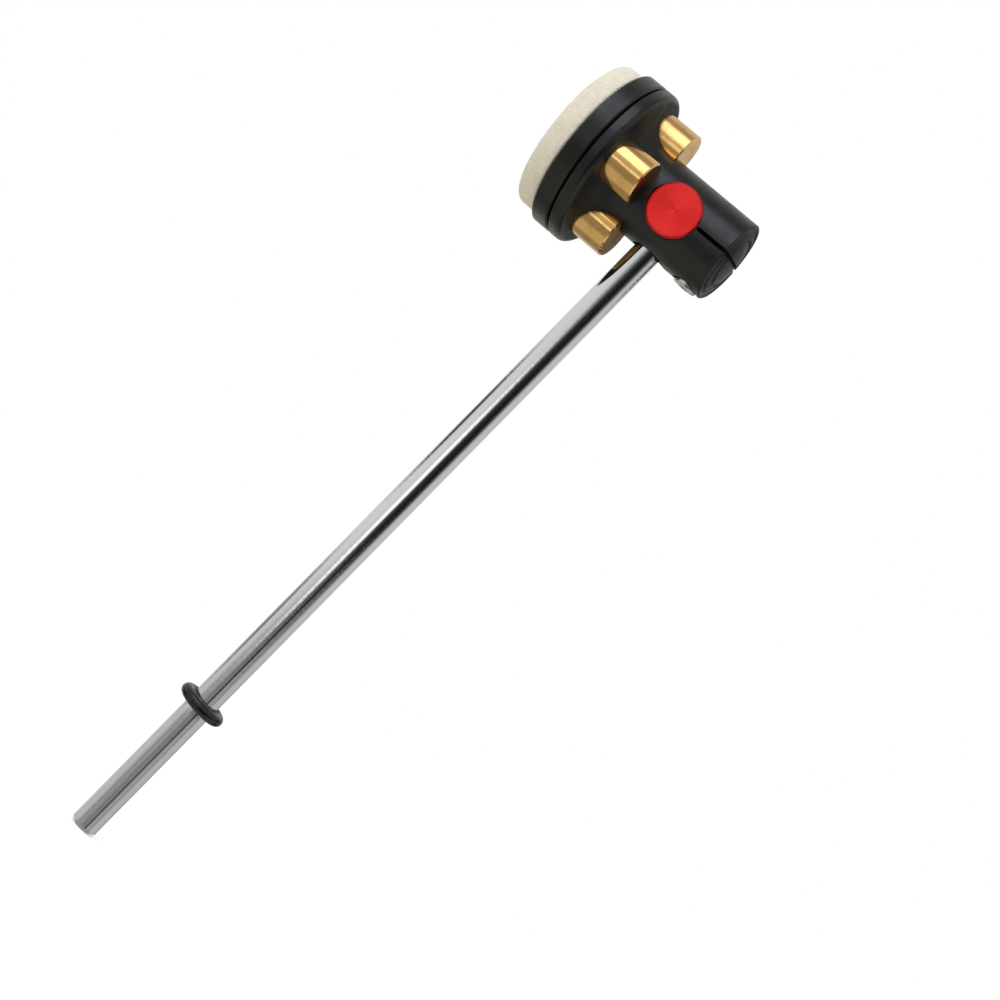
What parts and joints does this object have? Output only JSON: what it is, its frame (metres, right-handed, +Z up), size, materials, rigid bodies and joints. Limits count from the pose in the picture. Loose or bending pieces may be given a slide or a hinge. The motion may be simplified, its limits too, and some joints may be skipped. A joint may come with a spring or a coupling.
{
  "type": "bass drum beater",
  "caption": "Bass drum pedal beater: chromed shaft with a rubber memory ring, a split hub that tilts on a red cross barrel, brass weights, and a round holder with a thick felt face.",
  "frame": {"origin": "on the shaft's axis, at the lower edge of the stretch that a pedal's rocker clamps, just above the tail's chamfer", "axes": "+Z up the shaft from its tail to the head, -Y the way the felt face strikes, +X along the cross barrel that the head tilts on"},
  "size_m": [0.0492, 0.0585, 0.2506],
  "materials": {
    "shaft": "polished chrome plate",
    "ring": "smooth black rubber",
    "barrel": "red anodised, turned end faces",
    "head": "satin black moulding",
    "holder": "satin black moulding",
    "felt": "pressed cream wool felt",
    "adhesive": "cured glue film",
    "weight": "turned, lightly polished",
    "insert": "turned",
    "screw": "nickel-plated steel"
  },
  "bodies": {
    "shaft": {"shaft": "shaft", "pivot_barrel": "barrel"},
    "memory_ring": {"memory_ring": "ring"},
    "head": {"head_body": "head", "clamp_washer": "screw", "clamp_insert": "insert", "face_insert": "insert", "weight_near": "weight", "weight_top": "weight", "weight_far": "weight", "weight_bottom": "weight"},
    "clamp_screw": {"clamp_screw": "screw"},
    "face": {"face_holder": "holder", "felt_pad": "felt", "felt_adhesive": "adhesive", "face_stud": "screw"}
  },
  "joints": [
    {"name": "head_tilt", "type": "hinge", "parent": "shaft", "child": "head", "pos_m": [0, 0, 0.2263], "axis": [1, 0, 0], "range_deg": [-9.3, 2.7]},
    {"name": "memory_ring_slide", "type": "slide", "parent": "shaft", "child": "memory_ring", "axis": [0, 0, 1], "range_m": [-0.042, 0.16]},
    {"name": "clamp_screw_turn", "type": "hinge", "parent": "head", "child": "clamp_screw", "pos_m": [0, 0.01298, 0.22705], "axis": [0, 0.0576, -0.9983], "range_deg": [0, 720]},
    {"name": "face_pull", "type": "slide", "parent": "head", "child": "face", "axis": [0, -0.9983, -0.0576], "range_m": [0, 0.02]}
  ]
}
